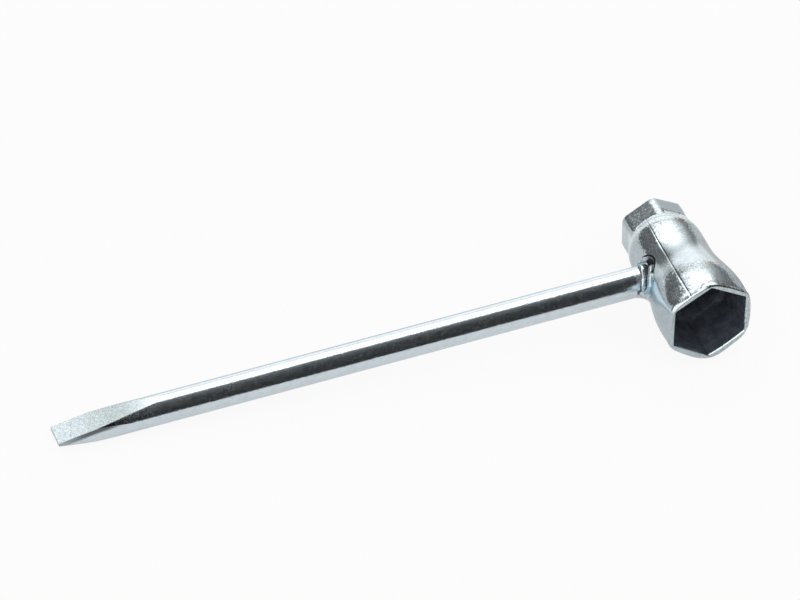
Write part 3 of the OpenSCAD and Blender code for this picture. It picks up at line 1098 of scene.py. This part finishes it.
# Level of the mirrored floor to the left of the tube, and how it changes by its bearing from the tube, a
# painted shadow and falloff of light that only the metal sees: the bearings between which it changes, from
# straight behind towards the right, and by how much
FLOOR_LEFT = 0.83
FLOOR_CHANGES = (
    (deg(-80, -60), -0.27),
    (deg(-40, -15), 0.45),
    (deg(38.5, 45), -0.6),
    (deg(50, 80), -0.33),
    (deg(88, 110), 0.45),
)


def studio():
    world = bpy.data.worlds.new("studio")
    bpy.context.scene.world = world
    world.use_nodes = True
    world.cycles.sampling_method = "NONE"
    tree = world.node_tree
    t, h = LIGHT_TURN - AZIMUTH, LIGHT_HEIGHT
    ahead = Vector((math.sin(t) * math.cos(h), math.cos(t) * math.cos(h), math.sin(h)))
    right = Vector((math.cos(t), -math.sin(t), 0))
    direction = new_value(tree, "TexCoord", "Generated")

    def towards(axis):
        return direction.vector("DOT_PRODUCT", axis)

    def off_squared(value, middle, width):
        off = (value - middle) / width
        return off * off

    nearness = towards(ahead)
    depth = nearness.calc("MAXIMUM", LEAST_DEPTH)
    across = towards(right) / depth
    upward = towards(right.cross(ahead)) / depth
    far = off_squared(across, GLOW_ASIDE, GLOW_WIDTH) + off_squared(upward, GLOW_UP, GLOW_TALL)
    panel = (math.log(GLOW_PEAK) - far).calc("EXPONENT").calc("MINIMUM", GLOW_MOST)
    panel = panel * upward.ramp(*GLOW_TOP, 1, 0) * (upward * GLOW_LEFT_SLANT + across).ramp(*GLOW_LEFT)
    sweep = upward.ramp(*SWEEP_TOP, SWEEP_LEVEL, 0)
    sweep = sweep * (upward * SWEEP_LEFT_SLANT + across).ramp(*SWEEP_LEFT)
    sweep = sweep * (upward * SWEEP_RIGHT_SLANT + across).ramp(*SWEEP_RIGHT, 1, 0)
    haze = nearness.ramp(*HAZE_NEAR, ROOM_LEVEL, HAZE_LEVEL)
    card = towards((0, 0, 1)).ramp(*CARD_HEIGHT, CARD_LEVEL, 0) * towards((1, 0, 0)).ramp(*CARD_NEAR)
    fill = towards(FILL_SIDE).ramp(*FILL_NEAR, 0, FILL_LEVEL)
    mirrored = panel.calc("MAXIMUM", sweep) + fill + (haze + card)
    glossy = new_value(tree, "LightPath", "Is Glossy Ray")
    light = {"Color": (1, 1, 1, 1), "Strength": glossy.either(1, mirrored)}
    feed(tree.nodes["Background"].inputs, light)


def rest_plane(pieces):
    """Normal of the surface that the wrench lies on, and how far along it the lowest point lies."""
    plug_rest = Vector((0, PLUG_REST, -CROWN_R))
    nut_rest = Vector((0, NUT_MOUTH, -(NUT_HEX_R + WALL) / math.cos(HEX_HALF) + NUT_BLUNT))
    tip_rest = Vector((BLADE_TIP, ROD_STATION, -BLADE_HALF_TIP))
    normal = (plug_rest - tip_rest).cross(nut_rest - tip_rest).normalized()
    return normal, min(normal.dot(v.co) for piece in pieces for v in piece.data.vertices)


def white_floor():
    """White paint glowing for the camera and the metal; for the metal its bearing paints shadow on it."""
    material, tree, _ = new_material("white_floor")
    tree.nodes.remove(tree.nodes["Principled BSDF"])
    _, aside, behind, _ = place_in(tree)
    bearing = aside.calc("ARCTAN2", behind)
    level = FLOOR_LEFT
    # The changes by bearing are painted shadow and falloff of light, seen only by the metal
    for bearings, change in FLOOR_CHANGES:
        level = bearing.ramp(*bearings, 0, change) + level
    seen = new_value(tree, "LightPath", "Is Camera Ray")
    mirrored = new_value(tree, "LightPath", "Is Glossy Ray")
    share = seen * FLOOR_SEEN + mirrored * FLOOR_MIRRORED
    paint = new_value(tree, "BsdfDiffuse", 0, {"Color": FLOOR_PAINT})
    glow = new_value(tree, "Emission", 0, {"Strength": seen.either(level, 1)})
    surface = new_value(tree, "MixShader", 0, {0: share, 1: paint, 2: glow})
    feed(tree.nodes["Material Output"].inputs, {"Surface": surface})
    return material


def lay_floor(pieces):
    normal, lowest = rest_plane(pieces)
    bpy.ops.mesh.primitive_plane_add(size=FLOOR_SIZE)
    plane = bpy.context.object
    plane.name = "studio_floor"
    away = normal.cross(Vector((1, 0, 0))).normalized()
    lean = Matrix((away.cross(normal), away, normal)).transposed().to_4x4()
    foot = CROSSING + normal * (lowest - normal.dot(CROSSING))
    plane.matrix_world = Matrix.Translation(foot) @ lean
    plane.data.materials.append(white_floor())


camera()
bpy.context.scene.view_settings.view_transform = "Standard"
studio()
grain = plating_grain()
spangle = zinc_spangle()
marks = weld_marks()
tube_plate = plated_metal(
    "zinc_plate_tube",
    bright=(0.71, 0.795, 0.83, 1),
    dull=(0.655, 0.74, 0.775, 1),
    roughness=(0.12, 0.18),
    grain_depth=0.02 * MM,
    scales=(2600, 420, 2200),
    pit_share=0.25,
    lean=0.18,
    fleck=0.5,
    bloom=0.12,
    wear=stained_tube,
)
rod_plate = plated_metal(
    "zinc_plate_rod",
    bright=(0.72, 0.80, 0.845, 1),
    dull=(0.68, 0.755, 0.80, 1),
    roughness=(0.15, 0.175),
    grain_depth=0.01 * MM,
    scales=(2800, 420, 900),
    pit_share=0.15,
    lean=0.08,
    fleck=0.07,
    bloom=0.09,
    wear=forged_rod,
)
weld_plate = plated_metal(
    "zinc_plate_weld",
    bright=(0.70, 0.785, 0.82, 1),
    dull=(0.52, 0.60, 0.64, 1),
    roughness=(0.2, 0.34),
    grain_depth=0.03 * MM,
    scales=(2400, 700, 1500),
    pit_share=0.6,
    lean=0.1,
    fleck=0.2,
    bloom=0.06,
    wear=heat_tinted_and_shaded_weld,
)
tube = socket_tube()
rod = handle_rod()
root_weld = weld_bead("root_weld_bead", ROOT_RING_R, ROOT_BEAD_R, root_bead)
cap_weld = weld_bead("cap_weld_bead", CAP_RING_R, CAP_BEAD_R, cap_bead)
for piece, cad_node, plate, slot in (
    (tube, "socket_tube", tube_plate, "zinc_plate"),
    (rod, "handle_rod", rod_plate, "zinc_plate"),
    (root_weld, "weld_root_bead", weld_plate, "plated_weld"),
    (cap_weld, "weld_cap_bead", weld_plate, "plated_weld"),
):
    piece.data.materials.append(plate)
    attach(piece, "root")
    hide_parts(cad_node)
line_bore(tube, bare_shaded_bore())
lay_floor([tube, rod])
